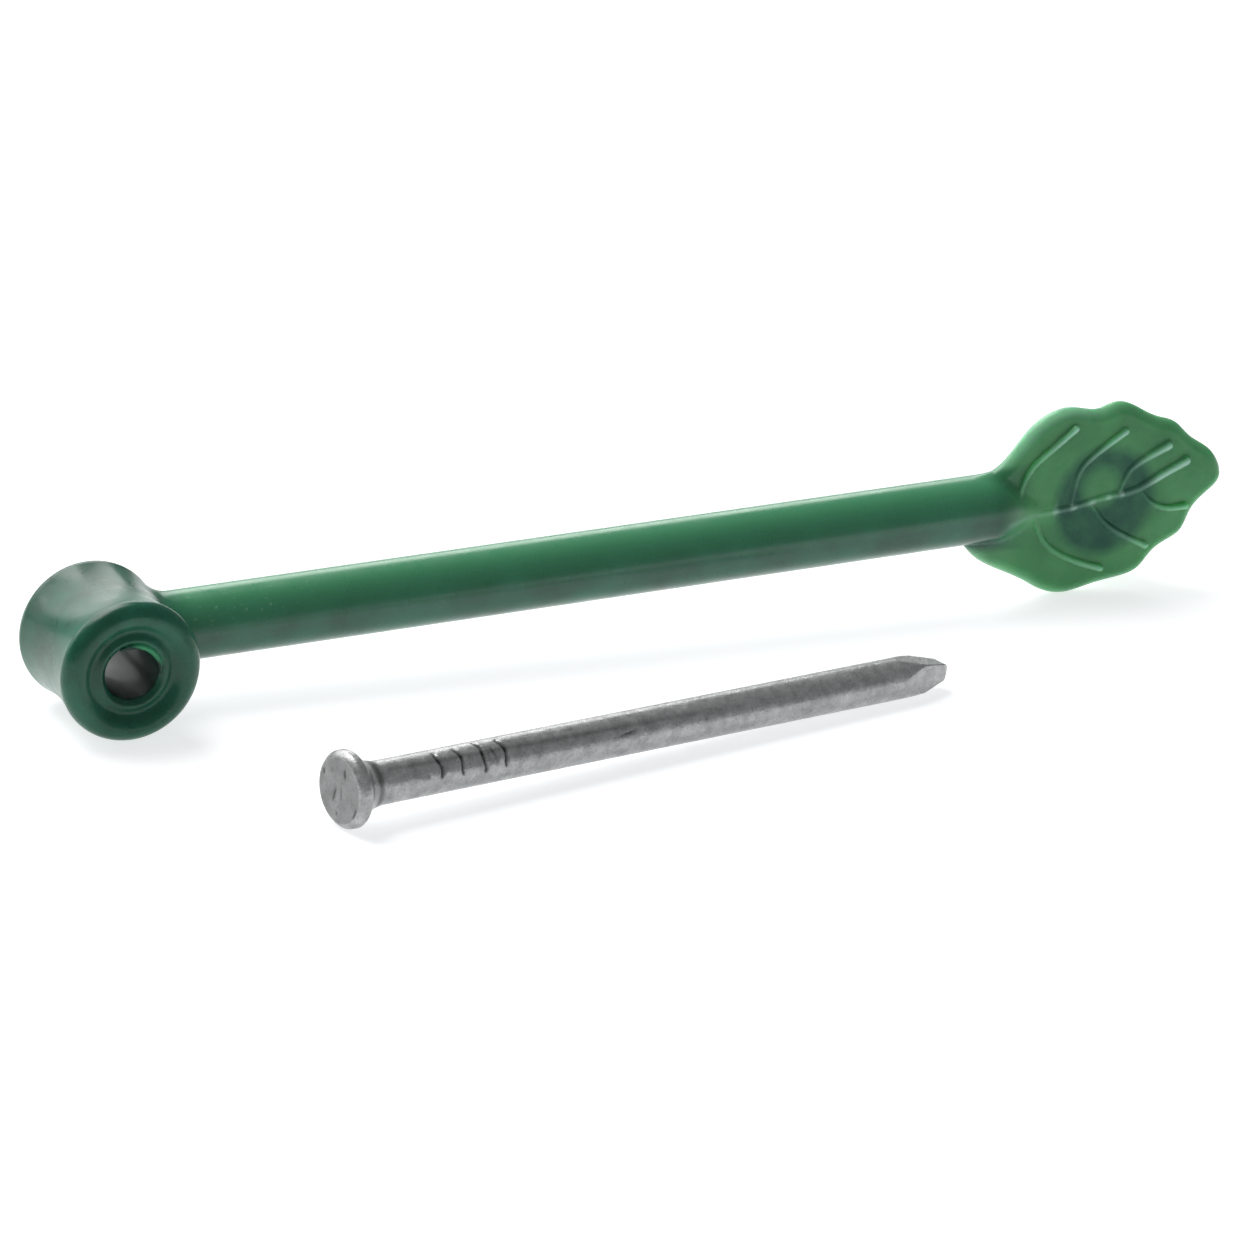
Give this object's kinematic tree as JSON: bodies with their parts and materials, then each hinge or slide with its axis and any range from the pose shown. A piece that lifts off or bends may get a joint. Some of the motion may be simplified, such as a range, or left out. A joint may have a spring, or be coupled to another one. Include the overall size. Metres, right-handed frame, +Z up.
{
  "type": "plant tie with masonry nail",
  "caption": "Garden wall tie: spool-shaped collar with a nail bore, a round flexible arm, a leaf-shaped snap clip and a loose masonry nail.",
  "frame": {"origin": "where the collar's bore axis crosses the arm's axis", "axes": "+X along the arm towards the leaf, +Y along the nail bore towards the end that takes the nail's head, +Z up"},
  "size_m": [0.0751, 0.0252, 0.0116],
  "materials": {
    "green_plastic": "glossy moulded soft plastic, slightly translucent",
    "zinc_steel": "dull zinc, mottled and lightly scratched"
  },
  "bodies": {
    "collar": {"collar": "green_plastic"},
    "arm_link_01": {"arm_link_01": "green_plastic"},
    "arm_link_02": {"arm_link_02": "green_plastic"},
    "arm_link_03": {"arm_link_03": "green_plastic"},
    "arm_link_04": {"arm_link_04": "green_plastic"},
    "arm_link_05": {"arm_link_05": "green_plastic"},
    "arm_link_06": {"arm_link_06": "green_plastic"},
    "arm_link_07": {"arm_link_07": "green_plastic"},
    "arm_link_08": {"arm_link_08": "green_plastic"},
    "arm_link_09": {"arm_link_09": "green_plastic"},
    "arm_link_10": {"arm_link_10": "green_plastic"},
    "arm_link_11": {"arm_link_11": "green_plastic"},
    "arm_link_12": {"arm_link_12": "green_plastic"},
    "arm_link_13": {"arm_link_13": "green_plastic"},
    "leaf": {"leaf": "green_plastic"},
    "nail": {"nail": "zinc_steel"}
  },
  "joints": [
    {"name": "arm_bend_01", "type": "hinge", "parent": "collar", "child": "arm_link_01", "pos_m": [0.006, 0, 0.0002], "axis": [-0.0336, 0, 0.9994], "range_deg": [-24.01, 0]},
    {"name": "arm_bend", "type": "hinge", "parent": "arm_link_01", "child": "arm_link_02", "pos_m": [0.00969, 0, 0.00033], "axis": [0.0336, 0, -0.9994], "range_deg": [0, 15], "stiffness_Nm_per_rad": 0.001},
    {"name": "arm_bend_03", "type": "hinge", "parent": "arm_link_02", "child": "arm_link_03", "pos_m": [0.01338, 0, 0.00045], "axis": [-0.0336, 0, 0.9994], "range_deg": [0, 7.01]},
    {"name": "arm_bend_04", "type": "hinge", "parent": "arm_link_03", "child": "arm_link_04", "pos_m": [0.01707, 0, 0.00057], "axis": [-0.0336, 0, 0.9994], "range_deg": [0, 16.01]},
    {"name": "arm_bend_05", "type": "hinge", "parent": "arm_link_04", "child": "arm_link_05", "pos_m": [0.02076, 0, 0.0007], "axis": [-0.0336, 0, 0.9994], "range_deg": [0, 22.01]},
    {"name": "arm_bend_06", "type": "hinge", "parent": "arm_link_05", "child": "arm_link_06", "pos_m": [0.02445, 0, 0.00082], "axis": [-0.0336, 0, 0.9994], "range_deg": [0, 28.01]},
    {"name": "arm_bend_07", "type": "hinge", "parent": "arm_link_06", "child": "arm_link_07", "pos_m": [0.02814, 0, 0.00095], "axis": [-0.0336, 0, 0.9994], "range_deg": [0, 31.01]},
    {"name": "arm_bend_08", "type": "hinge", "parent": "arm_link_07", "child": "arm_link_08", "pos_m": [0.03183, 0, 0.00107], "axis": [-0.0336, 0, 0.9994], "range_deg": [0, 32.01]},
    {"name": "arm_bend_09", "type": "hinge", "parent": "arm_link_08", "child": "arm_link_09", "pos_m": [0.03552, 0, 0.0012], "axis": [-0.0336, 0, 0.9994], "range_deg": [0, 31.01]},
    {"name": "arm_bend_10", "type": "hinge", "parent": "arm_link_09", "child": "arm_link_10", "pos_m": [0.03921, 0, 0.00132], "axis": [-0.0336, 0, 0.9994], "range_deg": [0, 27.01]},
    {"name": "arm_bend_11", "type": "hinge", "parent": "arm_link_10", "child": "arm_link_11", "pos_m": [0.0429, 0, 0.00144], "axis": [-0.0336, 0, 0.9994], "range_deg": [0, 21.01]},
    {"name": "arm_bend_12", "type": "hinge", "parent": "arm_link_11", "child": "arm_link_12", "pos_m": [0.04659, 0, 0.00157], "axis": [-0.0336, 0, 0.9994], "range_deg": [0, 14.01]},
    {"name": "arm_bend_13", "type": "hinge", "parent": "arm_link_12", "child": "arm_link_13", "pos_m": [0.05028, 0, 0.00169], "axis": [-0.0336, 0, 0.9994], "range_deg": [0, 7.01]},
    {"name": "arm_bend_14", "type": "hinge", "parent": "arm_link_13", "child": "leaf", "pos_m": [0.05397, 0, 0.00182], "axis": [-0.0336, 0, 0.9994], "range_deg": [-17.01, 0]},
    {"name": "nail_stand", "type": "hinge", "parent": "collar", "child": "nail", "pos_m": [0.00601, -0.01978, -0.004], "axis": [0.2011, -0.9796, 0], "range_deg": [0, 91.45]}
  ],
  "couplings": [
    {"joint": "arm_bend_01", "follows": "arm_bend", "ratio": -1.6},
    {"joint": "arm_bend_03", "follows": "arm_bend", "ratio": 0.46667},
    {"joint": "arm_bend_04", "follows": "arm_bend", "ratio": 1.0667},
    {"joint": "arm_bend_05", "follows": "arm_bend", "ratio": 1.4667},
    {"joint": "arm_bend_06", "follows": "arm_bend", "ratio": 1.8667},
    {"joint": "arm_bend_07", "follows": "arm_bend", "ratio": 2.0667},
    {"joint": "arm_bend_08", "follows": "arm_bend", "ratio": 2.1333},
    {"joint": "arm_bend_09", "follows": "arm_bend", "ratio": 2.0667},
    {"joint": "arm_bend_10", "follows": "arm_bend", "ratio": 1.8},
    {"joint": "arm_bend_11", "follows": "arm_bend", "ratio": 1.4},
    {"joint": "arm_bend_12", "follows": "arm_bend", "ratio": 0.93333},
    {"joint": "arm_bend_13", "follows": "arm_bend", "ratio": 0.46667},
    {"joint": "arm_bend_14", "follows": "arm_bend", "ratio": -1.1333}
  ]
}
